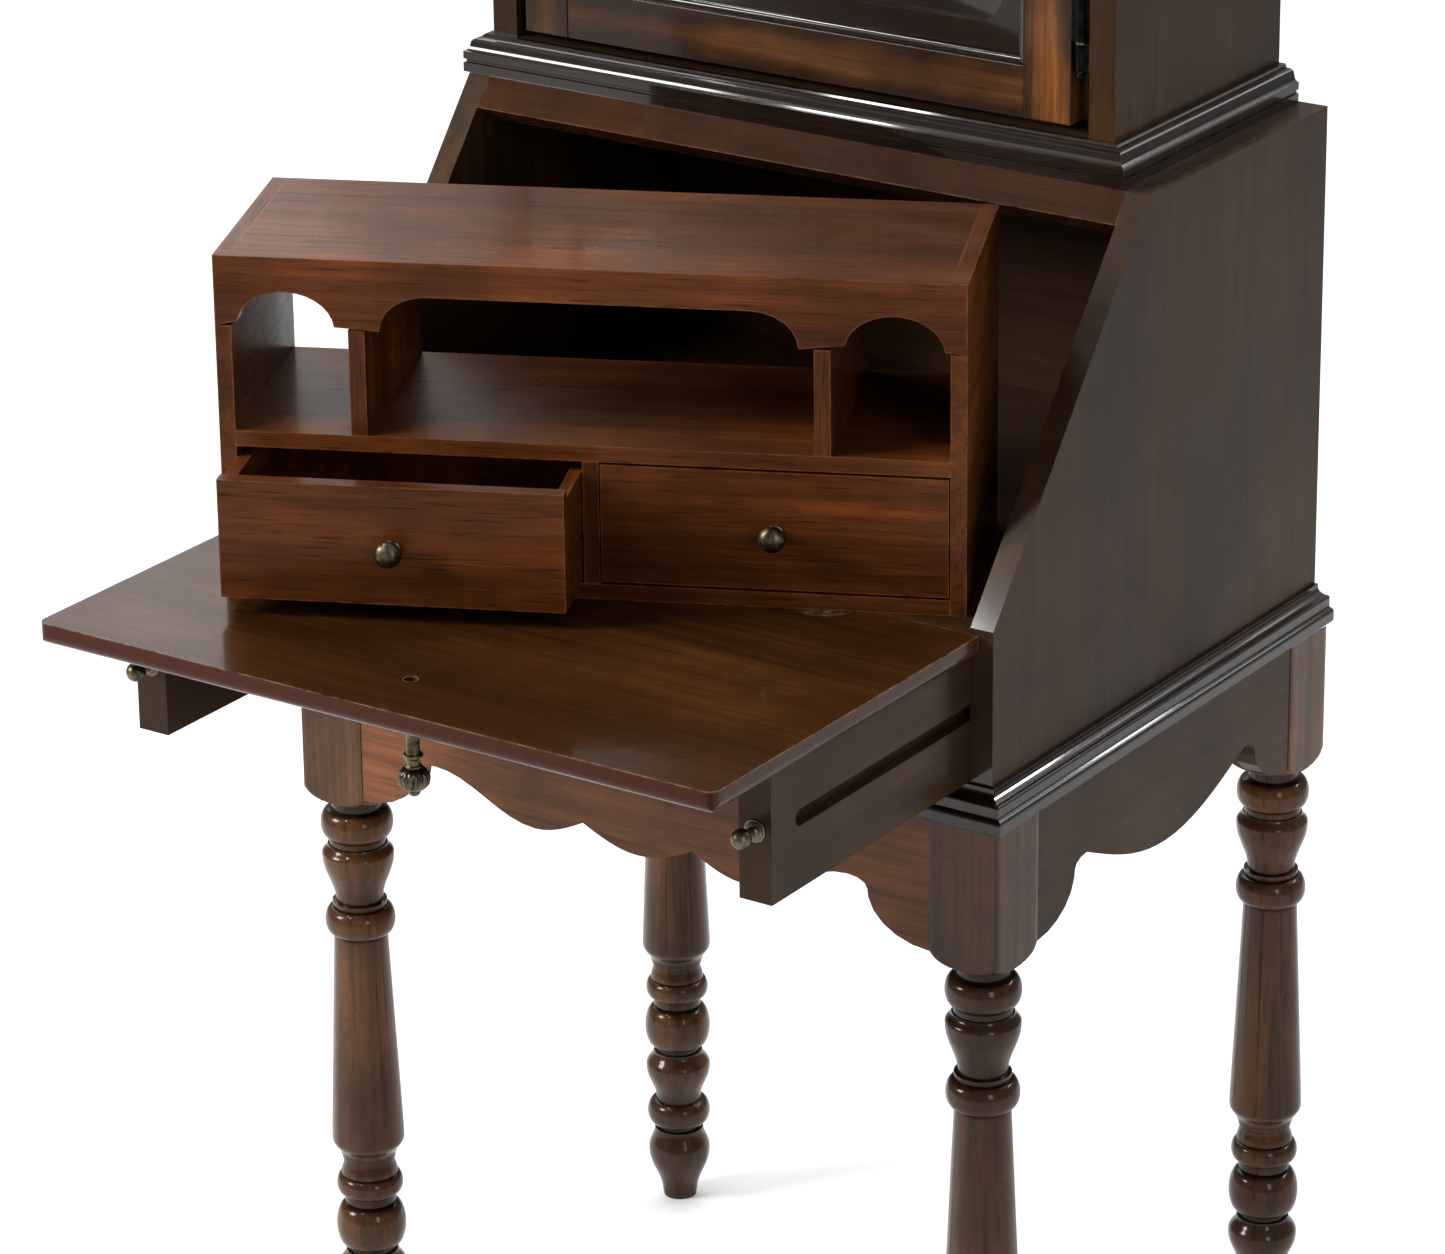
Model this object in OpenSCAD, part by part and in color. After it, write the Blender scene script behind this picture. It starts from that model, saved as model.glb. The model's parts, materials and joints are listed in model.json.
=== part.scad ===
// Secretary desk with a fall front, pull-out lopers, a removable pigeonhole
// organizer and a glazed hutch on top. Millimetres, Z up, front towards -Y.

/* [Desk case] */
// Width over the two side panels
case_w = 610; // [600:1:620]
// Depth of the side panels
case_d = 484; // [474:1:490]
// Height of the writing surface above the floor
floor_z = 800; // [790:1:810]
// Height of the flat desk top above the floor
top_z = 1072; // [1066:1:1078]
// Distance from the case front back to the top of the slope
slope_y = 215; // [211:1:219]
// Thickness of the side panels
side_t = 19; // [18:0.5:20]
// Thickness of the lid, the desk floor and the other boards
board_t = 18; // [17:0.5:18.5]
// Width of the fixed rail at the top of the slope, measured along it
rail_h = 27; // [24:1:30]

/* [Fall front] */
// Width of the lid
lid_w = 588; // [582:1:592]
// Distance that the open lid stands out from the case front
lid_reach = 340; // [332:1:344]
// Radius of the rounded outer edge of the lid
lid_edge_r = 10; // [8:0.5:11]
// Gap between the back edge of the open lid and the case
lid_gap = 2; // [1.8:0.1:2.4]
// Depth of the hinge pin below the writing surface
hinge_drop = 2.5; // [2.5:0.05:2.6]
// Distance of each lid hinge from the middle of the desk
hinge_x = 168; // [150:1:200]

/* [Lopers] */
// Distance that the left loper is drawn out
left_out = 242; // [220:1:250]
// Distance that the right loper is drawn out
right_out = 258; // [230:1:260]
// Length of a loper
loper_l = 400; // [380:1:430]
// Thickness of a loper
loper_t = 27; // [22:0.5:28]

/* [Organizer] */
// Width of the organizer
org_w = 546; // [540:1:550]
// Depth of the organizer
org_d = 190; // [180:1:194]
// Height of the organizer
org_h = 251; // [246:1:253]
// Angle that the organizer is turned on the lid
org_turn = 24.7; // [20:0.1:27]
// Front right corner of the organizer, right of the middle of the desk
org_x = 268; // [262:1:270]
// Front right corner of the organizer, behind the case front
org_y = 24; // [14:1:27]
// Thickness of the organizer's boards
org_t = 12; // [11:0.5:13]
// Distance that the left drawer is pulled out
drawer_out = 66; // [40:1:90]
// Width of a drawer front
drawer_w = 253; // [248:0.5:253]
// Length of a drawer from its front face to its back
drawer_l = 168; // [140:1:174]

/* [Base and legs] */
// Size of the square post at the top of a leg
post = 58; // [54:1:60]
// Distance that the posts stand proud of the case
post_out = 12; // [10:0.5:13]
// Height of the lower end of the square posts
post_z = 538; // [534:1:542]
// Height of the top of the base, where the waist molding sits
base_z = 654; // [650:1:658]

/* [Hutch] */
// Width of the hutch body
hutch_w = 558; // [550:1:562]
// Offset of the hutch from the middle of the desk
hutch_x = -15; // [-20:1:-10]
// Height of the hutch body above the desk top
hutch_h = 880; // [840:1:920]
// Height of the molding round the foot of the hutch
plinth_h = 29; // [27:1:31]
// Width of the door stiles
stile_w = 40; // [36:1:44]
// Thickness of the hutch's side panels
hutch_side_t = 22; // [20:0.5:22.5]
// Gap between the door and the side panel, on the side away from the hinges
door_gap = 8; // [7:0.5:9]

/* [Hidden] */
$fn = 64;

// Colours
case_wood = [0.20, 0.13, 0.10];
molding_wood = [0.11, 0.08, 0.065];
red_wood = [0.34, 0.16, 0.09];
organizer_wood = [0.42, 0.19, 0.09];
brass = [0.42, 0.38, 0.27];
black_iron = [0.05, 0.05, 0.05];
nickel = [0.62, 0.60, 0.55];
glide_black = [0.03, 0.03, 0.03];
pane = [0.72, 0.80, 0.80, 0.35];

// Places shared by several parts. The model is centred front to back, from
// the open lid's edge to the back of the case, so the case front stands here.
front_y = (lid_reach - case_d) / 2;
inner_x = case_w / 2 - side_t;
back_t = 8;
back_y = case_d - back_t;
case_z = base_z + 30;
knee_z = floor_z + 4;
slope_len = norm([slope_y, top_z - knee_z]);
slope_c = slope_y / slope_len;
slope_s = (top_z - knee_z) / slope_len;
under_z = floor_z - board_t;
shelf_z = case_z - board_t;

// The hinge pin stands far enough out that the closed lid lies 0.3 mm off the
// slope.
lid_rest = 0.3;
pin_z = floor_z - hinge_drop;
pin_y = -(lid_rest + hinge_drop + (knee_z - pin_z) * slope_c) / slope_s;
pin_r = 1;
barrel_r = 2.3;
knuckle_w = 14;
leaf_r = 22;
leaf_t = 2.6;
// Each leaf keeps clear of the pin by this much, but for its own knuckle
leaf_back = 5.6;

module at_case() {
    translate([0, front_y, 0]) children();
}

// An outline in the plane of the sides, [depth, height], given a thickness
// from x0 to x1
module side_profile(x0, x1, points) {
    translate([x0, 0, 0])
        rotate([90, 0, 90])
            linear_extrude(height = x1 - x0)
                polygon(points);
}

// An outline in the plane of the front, [across, height], given a thickness
// from y0 to y1
module front_profile(y0, y1) {
    translate([0, y1, 0])
        rotate([90, 0, 0])
            linear_extrude(height = y1 - y0)
                children();
}

module block(from, to) {
    translate(from) cube(to - from);
}

// A solid turned about the vertical, from [radius, height] points
module turned(points) {
    rotate_extrude($fn = 96)
        polygon(concat([[0, points[0][1]]], points, [[0, points[len(points) - 1][1]]]));
}

// Play between two boards of one frame, at their joint
joint = 0.1;

/* Desk case */

module side_panel(x0, x1) {
    side_profile(x0, x1, [
        [0, case_z], [case_d, case_z], [case_d, top_z], [slope_y, top_z], [0, knee_z]
    ]);
}

module side_panel_left() {
    color(case_wood)
        at_case()
            side_panel(-case_w / 2, -inner_x);
}

module side_panel_right() {
    color(case_wood)
        at_case()
            side_panel(inner_x, case_w / 2);
}

module case_back() {
    color(case_wood)
        at_case()
            block([-inner_x, back_y, case_z], [inner_x, case_d, top_z - board_t]);
}

// Sockets in the writing surface for the pair of round hinges
module hinge_sockets() {
    for (side = [-1, 1])
        translate([side * hinge_x, pin_y, floor_z - leaf_t - 0.5])
            cylinder(h = leaf_t + 1.5, r = leaf_r + 0.4);
}

module desk_floor() {
    color(red_wood)
        at_case()
            difference() {
                block([-inner_x, 0, under_z], [inner_x, back_y, floor_z]);
                hinge_sockets();
            }
}

module case_bottom() {
    color(case_wood)
        at_case()
            block([-case_w / 2, 0, shelf_z], [case_w / 2, case_d, case_z]);
}

// Rail along the top of the slope: a board lying in the slope plane
rail_foot = [slope_y - rail_h * slope_c, top_z - rail_h * slope_s];
rail_heel = rail_foot + board_t * [slope_s, -slope_c];
rail_top_y = rail_heel[0] + (top_z - rail_heel[1]) * slope_c / slope_s;
rail_under_y = rail_heel[0] + (top_z - board_t - rail_heel[1]) * slope_c / slope_s;

module slope_rail() {
    color(red_wood)
        at_case()
            side_profile(-inner_x, inner_x, [
                rail_foot, rail_heel, [rail_top_y, top_z], [slope_y, top_z]
            ]);
}

module case_top() {
    color(case_wood)
        at_case()
            side_profile(-inner_x, inner_x, [
                [rail_top_y, top_z], [rail_under_y, top_z - board_t],
                [case_d, top_z - board_t], [case_d, top_z]
            ]);
}

/* Lopers: the two arms that carry the open lid */

loper_gap = 0.4;
loper_x1 = inner_x - loper_gap;
loper_x0 = loper_x1 - loper_t;
loper_z0 = case_z + 0.5;
loper_z1 = under_z - loper_gap;
groove_z = case_z + 54;
groove_h = 13;
groove_deep = 9;
groove_start = 30;
stop_r = 4;
full_out = 258;

// The stop pin stands in the groove: it meets the back end when the loper is
// all the way out, and the front end when it is home.
stop_y = groove_start + stop_r + 0.4;

module front_rail() {
    color(red_wood)
        at_case()
            block([-loper_x0 + 0.5, 0, case_z], [loper_x0 - 0.5, board_t, under_z]);
}

module loper_guides() {
    color(red_wood)
        at_case()
            for (side = [0, 1])
                mirror([side, 0, 0])
                    block(
                        [loper_x0 - 0.5 - org_t, board_t, case_z],
                        [loper_x0 - 0.5, back_y, under_z]
                    );
}

module loper_stop_pins() {
    color(nickel)
        at_case()
            for (side = [0, 1])
                mirror([side, 0, 0])
                    translate([loper_x1 - groove_deep + 2, stop_y, groove_z])
                        rotate([0, 90, 0])
                            cylinder(h = inner_x - loper_x1 + groove_deep - 2, r = stop_r);
}

// A loper on the right, drawn out by the given distance
module loper(out) {
    groove_end = groove_start + full_out + 2 * stop_r + 0.8;
    translate([0, -out, 0])
        difference() {
            block([loper_x0, 0, loper_z0], [loper_x1, loper_l, loper_z1]);
            translate([loper_x1 - groove_deep, 0, groove_z])
                rotate([0, 90, 0]) {
                    for (y = [groove_start + groove_h / 2, groove_end - groove_h / 2])
                        translate([0, y, 0])
                            cylinder(h = groove_deep + 1, r = groove_h / 2);
                    block(
                        [-groove_h / 2, groove_start + groove_h / 2, 0],
                        [groove_h / 2, groove_end - groove_h / 2, groove_deep + 1]
                    );
                }
        }
}

// Ball knob on the front end of a loper
module loper_knob(out) {
    ball_r = 7.4;
    neck = 9.5;
    translate([(loper_x0 + loper_x1) / 2, -out, groove_z])
        rotate([90, 0, 0]) {
            turned([
                [8.6, 0], [8.6, 1.4], [7.4, 2.6], [4.4, 3.4],
                [3.4, 6], [3.4, neck + 2]
            ]);
            translate([0, 0, neck + ball_r])
                sphere(r = ball_r);
        }
}

module loper_left() {
    color(case_wood)
        at_case()
            mirror([1, 0, 0])
                loper(left_out);
}

module loper_right() {
    color(case_wood)
        at_case()
            loper(right_out);
}

module loper_knob_left() {
    color(brass)
        at_case()
            mirror([1, 0, 0])
                loper_knob(left_out);
}

module loper_knob_right() {
    color(brass)
        at_case()
            loper_knob(right_out);
}

/* Fall front */

pull_y = -284;
pull_pin_z = under_z - 10;

// Outline of a board seen from its edge, with its lower corner rounded
function rounded_edge(reach, r) = [
    for (a = [0:9:90]) [reach - r + r * sin(a), under_z + r - r * cos(a)]
];

// Lid board: square upper edge, rounded lower edge at the front and the sides,
// and rounded corners in plan
module lid_board() {
    r = lid_edge_r;
    x1 = lid_w / 2;
    edge = rounded_edge(x1, r);
    corner = 8;
    intersection() {
        front_profile(-lid_reach, -lid_gap)
            polygon(concat(
                edge,
                [[x1, floor_z], [-x1, floor_z]],
                [for (k = [len(edge) - 1:-1:0]) [-edge[k][0], edge[k][1]]]
            ));
        mirror([0, 1, 0])
            side_profile(-x1, x1, concat(
                [[lid_gap, under_z]],
                rounded_edge(lid_reach, r),
                [[lid_reach, floor_z], [lid_gap, floor_z]]
            ));
        translate([0, 0, under_z - 1])
            linear_extrude(height = board_t + 2)
                polygon(concat(
                    [[-x1, 0]],
                    [for (a = [0:15:90]) [
                        -x1 + corner - corner * cos(a), -lid_reach + corner - corner * sin(a)
                    ]],
                    [for (a = [90:-15:0]) [
                        x1 - corner + corner * cos(a), -lid_reach + corner - corner * sin(a)
                    ]],
                    [[x1, 0]]
                ));
    }
}

// Bevel along the lower back edge, so that the edge swings clear of the lopers
module lid_back_bevel() {
    bevel = 5;
    side_profile(-lid_w / 2 - 1, lid_w / 2 + 1, [
        [-lid_gap - bevel - 1, under_z - 1], [-lid_gap + 1, under_z + bevel + 1],
        [-lid_gap + 1, under_z - 1]
    ]);
}

module lid_panel() {
    trough_x = knuckle_w + 0.8;
    color(red_wood)
        at_case()
            difference() {
                lid_board();
                lid_back_bevel();
                hinge_sockets();
                for (side = [-1, 1])
                    block(
                        [side * hinge_x - trough_x, pin_y - leaf_back, pin_z - barrel_r - 0.5],
                        [side * hinge_x + trough_x, 0, floor_z + 1]
                    );
                translate([0, pull_y, under_z - 1])
                    cylinder(h = board_t + 2, r = 2.4);
                translate([0, pull_y, floor_z - 5])
                    cylinder(h = 6, r = 5);
            }
}

// Half of a round flush hinge, centred on its pin: a half disc lying behind the
// pin, with two screws, and one knuckle running from x0 to x1
module hinge_leaf(x0, x1) {
    leaf_z = floor_z - 0.2 - leaf_t;
    screw_x = 10;
    screw_y = 12.5;
    difference() {
        translate([0, 0, leaf_z])
            intersection() {
                cylinder(h = leaf_t, r = leaf_r);
                block([-leaf_r, leaf_back, 0], [leaf_r, leaf_r, leaf_t]);
            }
        for (x = [-screw_x, screw_x])
            translate([x, screw_y, floor_z - 1])
                cylinder(h = 2, r = 3.2);
    }
    for (x = [-screw_x, screw_x])
        translate([x, screw_y, floor_z - 1.4])
            cylinder(h = 1, r = 2.8);
    block([x0, 0, leaf_z], [x1, leaf_back + 1, leaf_z + leaf_t]);
    translate([x0, 0, pin_z])
        rotate([0, 90, 0])
            cylinder(h = x1 - x0, r = barrel_r);
}

module floor_hinge_leaves() {
    color(nickel)
        at_case()
            for (side = [-1, 1])
                translate([side * hinge_x, pin_y, 0]) {
                    hinge_leaf(-knuckle_w, -0.3);
                    translate([-knuckle_w, 0, pin_z])
                        rotate([0, 90, 0])
                            cylinder(h = 2 * knuckle_w, r = pin_r);
                }
}

module lid_hinge_leaves() {
    color(nickel)
        at_case()
            for (side = [-1, 1])
                translate([side * hinge_x, pin_y, 0])
                    difference() {
                        mirror([0, 1, 0]) hinge_leaf(0.3, knuckle_w);
                        translate([-1, 0, pin_z])
                            rotate([0, 90, 0])
                                cylinder(h = knuckle_w + 2, r = pin_r + 0.35);
                    }
}

// Screw through the lid, rosette and fork that the pendant hangs in
module pull_mount() {
    fork_x = 2.3;
    fork_t = 2;
    fork_r = 3;
    head_h = 2.4;
    head_r = 4.6;
    head_sunk = 2.4;
    slot_w = 1.2;
    slot_deep = 1;
    shank_r = 2.2;
    rosette_h = 1.8;
    rosette_r = 8;
    pin_r = 1.3;
    color(brass)
        at_case()
            translate([0, pull_y, 0]) {
                translate([0, 0, floor_z - head_sunk - head_h])
                    difference() {
                        cylinder(h = head_h, r = head_r);
                        block(
                            [-head_r - 1, -slot_w / 2, head_h - slot_deep],
                            [head_r + 1, slot_w / 2, head_h + 1]
                        );
                    }
                translate([0, 0, under_z - 1])
                    cylinder(h = board_t - 3.6, r = shank_r);
                translate([0, 0, under_z - rosette_h])
                    cylinder(h = rosette_h, r = rosette_r);
                for (side = [0, 1])
                    mirror([side, 0, 0]) {
                        block(
                            [fork_x, -fork_r, pull_pin_z],
                            [fork_x + fork_t, fork_r, under_z - 1.5]
                        );
                        translate([fork_x, 0, pull_pin_z])
                            rotate([0, 90, 0])
                                cylinder(h = fork_t, r = fork_r);
                    }
                translate([-fork_x - fork_t, 0, pull_pin_z])
                    rotate([0, 90, 0])
                        cylinder(h = 2 * (fork_x + fork_t), r = pin_r);
            }
}

// Drop pendant: eye, stem, collar, melon and button, hanging from its eye
module pull_pendant() {
    eye_r = 3.4;
    color(brass)
        at_case()
            translate([0, pull_y, pull_pin_z]) {
                difference() {
                    union() {
                        translate([-1.8, 0, 0])
                            rotate([0, 90, 0])
                                cylinder(h = 3.6, r = eye_r);
                        block([-1.8, -2.4, -8], [1.8, 2.4, 0]);
                    }
                    translate([-3, 0, 0])
                        rotate([0, 90, 0])
                            cylinder(h = 6, r = 1.65);
                }
                turned(concat(
                    [[3.6, -6.5], [4.4, -7.5], [5, -27]],
                    [[7.1, -28.5], [7.1, -31], [5.4, -33], [5.1, -36], [6, -38], [6, -39.6]],
                    [for (a = [60:-15:-60]) [4.4 + 7.6 * cos(a), -47.5 + 8.4 * sin(a)]],
                    [for (a = [30:-30:-60]) [1 + 3.5 * cos(a), -57.4 + 3.6 * sin(a)]]
                ));
            }
}

/* Base */

leg_x = case_w / 2 + post_out - post / 2;
leg_front_y = -post_out + post / 2;
leg_rear_y = case_d - post / 2;

// Points of a turned bead between two heights, from the lower one
function bead(z0, z1, r_in, r_out) = [
    for (a = [0:22.5:180])
        [r_in + (r_out - r_in) * sin(a), (z0 + z1) / 2 - (z1 - z0) / 2 * cos(a)]
];

// Points of a smooth turned sweep from one radius to another
function sweep(z0, r0, z1, r1) = [
    for (k = [0:6])
        [r0 + (r1 - r0) * (1 - cos(30 * k)) / 2, z0 + (z1 - z0) * k / 6]
];

glide_h = 4;

// The turned part of a leg, from the glide up to the square post
leg_points = concat(
    sweep(glide_h, 15, 44, 26.4),
    sweep(46, 26.4, 66, 21),
    [[18.5, 66.5], [18.5, 70]],
    bead(70, 93, 19.5, 27),
    sweep(95, 19.5, 124, 27.6),
    sweep(126, 27.6, 140, 21),
    [[19, 140.5], [19, 143.5]],
    bead(144, 182, 19, 28),
    [[20.4, 184], [20, 190]],
    bead(191, 208, 21.5, 26.6),
    sweep(209, 22.6, 222, 20),
    [[21.4, 223], [21.4, 226], [25.5, 229], [28.6, 237], [29, 243]],
    [[21.4, 419]],
    bead(420, 443, 21, 27.8),
    [[21.6, 444], [21.6, 448]],
    sweep(449, 18.8, 487, 28.4),
    sweep(489, 28.4, 497, 23.6),
    [[22.4, 498], [22.4, 502]],
    bead(502.5, 527, 21, 28.7),
    [[19.8, 528], [19.8, post_z + 3]]
);

// A leg, with its post running up to the bottom board. The shoulders of the
// post are rounded off in turning.
module leg(x, y) {
    translate([x, y, 0]) {
        turned(leg_points);
        intersection() {
            block([-post / 2, -post / 2, post_z], [post / 2, post / 2, shelf_z]);
            turned(concat(
                [for (a = [0:15:90]) [24 + 18 * sin(a), post_z + 17 - 17 * cos(a)]],
                [[50, post_z + 24], [50, shelf_z + 1]]
            ));
        }
    }
}

module leg_front_left() {
    color(red_wood)
        at_case()
            leg(-leg_x, leg_front_y);
}

module leg_front_right() {
    color(red_wood)
        at_case()
            leg(leg_x, leg_front_y);
}

module leg_rear_left() {
    color(red_wood)
        at_case()
            leg(-leg_x, leg_rear_y);
}

module leg_rear_right() {
    color(red_wood)
        at_case()
            leg(leg_x, leg_rear_y);
}

module foot_glides() {
    color(glide_black)
        at_case()
            for (x = [-leg_x, leg_x])
                for (y = [leg_front_y, leg_rear_y])
                    translate([x, y, 0])
                        cylinder(h = glide_h, r = 14);
}

// Scalloped lower edges, as [distance from the middle, height]. Each half ends
// in the same quarter lobe beside the post.
apron_t = 18;
apron_in = 1;
lobe_z = base_z - 91;
cusp_z = base_z - 76;
notch_z = base_z - 61;
corner_z = base_z - 69;
end_z = base_z - 106;
end_lobe = 54;

function end_points(half) = concat(
    [for (a = [0:30:90]) [
        half - end_lobe - 17 + 17 * sin(a), corner_z + (notch_z - corner_z) * cos(a)
    ]],
    [for (a = [10:16:90]) [
        half - end_lobe * cos(a), corner_z - (corner_z - end_z) * sin(a)
    ]]
);

front_half = leg_x - post / 2;
front_scallop = concat(
    [for (a = [0:15:90]) [50 * a / 90, lobe_z + (cusp_z - lobe_z) * (1 - cos(a))]],
    [for (a = [75:-15:0]) [95 - 45 * a / 90, lobe_z + (cusp_z - lobe_z) * (1 - cos(a))]],
    [for (k = [1:7]) [
        95 + (front_half - end_lobe - 17 - 95) * k / 8,
        lobe_z + (notch_z - lobe_z) * (1 - cos(22.5 * k)) / 2
    ]],
    end_points(front_half)
);

side_half = (leg_rear_y - leg_front_y - post) / 2;
side_cusp = side_half - end_lobe - 17;
side_scallop = concat(
    [for (a = [0:10:80]) [
        side_cusp * a / 90, lobe_z - 4 + (notch_z - lobe_z + 4) * (1 - cos(a))
    ]],
    end_points(side_half)
);

// Both halves of a scalloped edge, closed along the top of the apron
function apron_outline(half, scallop) = concat(
    [for (k = [len(scallop) - 1:-1:1]) [-scallop[k][0], scallop[k][1]]],
    scallop,
    [[half, shelf_z], [-half, shelf_z]]
);

module apron_front() {
    color(red_wood)
        at_case()
            front_profile(-post_out + apron_in, -post_out + apron_in + apron_t)
                polygon(apron_outline(front_half, front_scallop));
}

module side_apron() {
    middle = (leg_front_y + leg_rear_y) / 2;
    outer = case_w / 2 + post_out - apron_in;
    translate([0, middle, 0])
        side_profile(outer - apron_t, outer, apron_outline(side_half, side_scallop));
}

module apron_left() {
    color(case_wood)
        at_case()
            mirror([1, 0, 0])
                side_apron();
}

module apron_right() {
    color(case_wood)
        at_case()
            side_apron();
}

module apron_back() {
    color(case_wood)
        at_case()
            block(
                [-front_half, case_d - apron_in - apron_t, cusp_z],
                [front_half, case_d - apron_in, shelf_z]
            );
}

// Molding profiles as [distance out from the body, height below the top]
waist_profile = concat(
    [[0, 0], [3, 0], [3, -3]],
    [for (a = [15:15:75]) [12 - 9 * cos(a), -3 - 5 * sin(a)]],
    [for (a = [90:-30:0]) [12 + 1.5 * cos(a), -9.5 + 1.5 * sin(a)]],
    [[13.5, -17]],
    [for (a = [75:-25:0]) [14.5 + 3 * cos(a), -20.5 + 3 * sin(a)]],
    [[17.5, -27.5], [15.5, -30], [post_out, -30], [post_out, -board_t], [0, -board_t]]
);

plinth_profile = concat(
    [[0, 0], [5, 0], [6.4, -1.4], [6.4, -3]],
    [for (a = [90:-22.5:0]) [9.4 + 3.8 * cos(a), -7 + 3.8 * sin(a)]],
    [for (a = [15:25:90]) [17.4 - 3.8 * cos(a), -8.2 - 4.6 * sin(a)]],
    [[17.4, -13.6], [17.4, -18.6], [15.6, -19.8], [15.6, -21], [17.4, -21.8],
        [17.4, -plinth_h], [0, -plinth_h]]
);

cornice_h = 46;
cornice_profile = concat(
    [[0, 0], [24, 0], [24, -7]],
    [for (a = [15:15:90]) [23 - 14 * sin(a), -22 + 14 * cos(a)]],
    [[9, -27], [11.5, -28]],
    [for (a = [60:-30:-60]) [8 + 4 * cos(a), -32 + 4 * sin(a)]],
    [[6, -37], [6, -cornice_h + 2], [4, -cornice_h], [0, -cornice_h]]
);

// A molding along three sides of a body: front, left and right, each its own
// length, mitred at the front corners. The body runs from x0 to x1 and from y0
// back to y1.
module three_sided(profile, reach, x0, x1, y0, y1, z) {
    // Front length, cut at 45 degrees at both ends
    intersection() {
        translate([x0 - reach, y0, z])
            rotate([90, 0, 90])
                linear_extrude(height = x1 - x0 + 2 * reach)
                    mirror([1, 0]) polygon(profile);
        translate([0, 0, z - 200])
            linear_extrude(height = 400)
                polygon([
                    [x0 - reach, y0 - reach], [x1 + reach, y0 - reach],
                    [x1, y0], [x1 - reach, y0 + reach], [x0 + reach, y0 + reach], [x0, y0]
                ]);
    }
    // Side lengths, each cut at 45 degrees at the front
    for (side = [0, 1]) {
        x = side == 0 ? x1 : -x0;
        mirror([side, 0, 0])
            intersection() {
                translate([x, y1, z])
                    rotate([90, 0, 0])
                        linear_extrude(height = y1 - y0 + reach)
                            polygon(profile);
                translate([0, 0, z - 200])
                    linear_extrude(height = 400)
                        polygon([
                            [x - reach, y0 + reach + joint], [x + reach, y0 - reach + joint],
                            [x + reach, y1], [x - reach, y1]
                        ]);
            }
    }
}

module waist_molding() {
    color(molding_wood)
        at_case()
            three_sided(waist_profile, 20, -case_w / 2, case_w / 2, 0, case_d, case_z);
}

/* Organizer: a loose pigeonhole case, built from its left front corner */

shelf_top = 118;
fascia_z = 198;
drawer_z0 = org_t + 2;
drawer_z1 = shelf_top - org_t - 2;
middle_x = org_w / 2;

module at_organizer() {
    translate([org_x, front_y + org_y, floor_z + 0.3])
        rotate([0, 0, org_turn])
            translate([-org_w, 0, 0])
                children();
}

module organizer_side(x0) {
    side_profile(x0, x0 + org_t, [
        [0, 0], [org_d, 0], [org_d, org_h], [org_t, org_h], [org_t, fascia_z], [0, fascia_z]
    ]);
}

module organizer_side_left() {
    color(organizer_wood)
        at_organizer()
            organizer_side(0);
}

module organizer_side_right() {
    color(organizer_wood)
        at_organizer()
            organizer_side(org_w - org_t);
}

module organizer_top() {
    color(organizer_wood)
        at_organizer()
            block([org_t, org_t, org_h - org_t], [org_w - org_t, org_d, org_h]);
}

module organizer_bottom() {
    color(organizer_wood)
        at_organizer()
            block([org_t, 0, 0], [org_w - org_t, org_d, org_t]);
}

module organizer_shelf() {
    color(organizer_wood)
        at_organizer()
            block([org_t, 0, shelf_top - org_t], [org_w - org_t, org_d, shelf_top]);
}

// Fascia with a small arch over each side pigeonhole and a long one between
arch_r = 36;
arch_x = 52;
arch_rise = 27;
long_x0 = 121;
long_end = 35;

function arch_edge(x, r, rise) = [
    for (a = [172:-12:4]) [x + r * cos(a), fascia_z + rise * sin(a)]
];

module organizer_fascia() {
    top_edge = org_h;
    color(organizer_wood)
        at_organizer()
            front_profile(0, org_t)
                polygon(concat(
                    [[0, top_edge], [0, fascia_z]],
                    arch_edge(arch_x, arch_r, arch_rise),
                    [for (a = [0:15:90]) [
                        long_x0 + long_end * (1 - cos(a)), fascia_z + arch_rise * sin(a)
                    ]],
                    [for (a = [90:-15:0]) [
                        org_w - long_x0 - long_end * (1 - cos(a)),
                        fascia_z + arch_rise * sin(a)
                    ]],
                    arch_edge(org_w - arch_x, arch_r, arch_rise),
                    [[org_w, fascia_z], [org_w, top_edge]]
                ));
}

// Two uprights over the shelf, notched round the fascia, and one between the
// drawers
divider_x = 98;

module organizer_dividers() {
    color(organizer_wood)
        at_organizer() {
            for (x = [divider_x, org_w - divider_x - org_t])
                side_profile(x, x + org_t, [
                    [0, shelf_top], [org_d, shelf_top], [org_d, org_h - org_t],
                    [org_t, org_h - org_t], [org_t, fascia_z], [0, fascia_z]
                ]);
            block(
                [middle_x - org_t / 2, 0, org_t],
                [middle_x + org_t / 2, org_d, shelf_top - org_t]
            );
        }
}

/* Drawers */

box_t = 9;
drawer_bottom_t = 4;

// Built with the middle of the closed front at the origin
module at_drawer(side, out) {
    at_organizer()
        translate([middle_x + side * (middle_x - org_t / 2) / 2, -out, 0])
            children();
}

module drawer_front() {
    block([-drawer_w / 2, 0, drawer_z0], [drawer_w / 2, org_t, drawer_z1]);
}

module drawer_box() {
    top = drawer_z1 - 6;
    for (x = [-drawer_w / 2, drawer_w / 2 - box_t])
        block([x, org_t, drawer_z0], [x + box_t, drawer_l, top]);
    block(
        [-drawer_w / 2 + box_t + joint, drawer_l - box_t, drawer_z0],
        [drawer_w / 2 - box_t - joint, drawer_l, top]
    );
}

module drawer_bottom() {
    block(
        [-drawer_w / 2 + box_t, org_t, drawer_z0 + 5],
        [drawer_w / 2 - box_t, drawer_l - box_t, drawer_z0 + 5 + drawer_bottom_t]
    );
}

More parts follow.
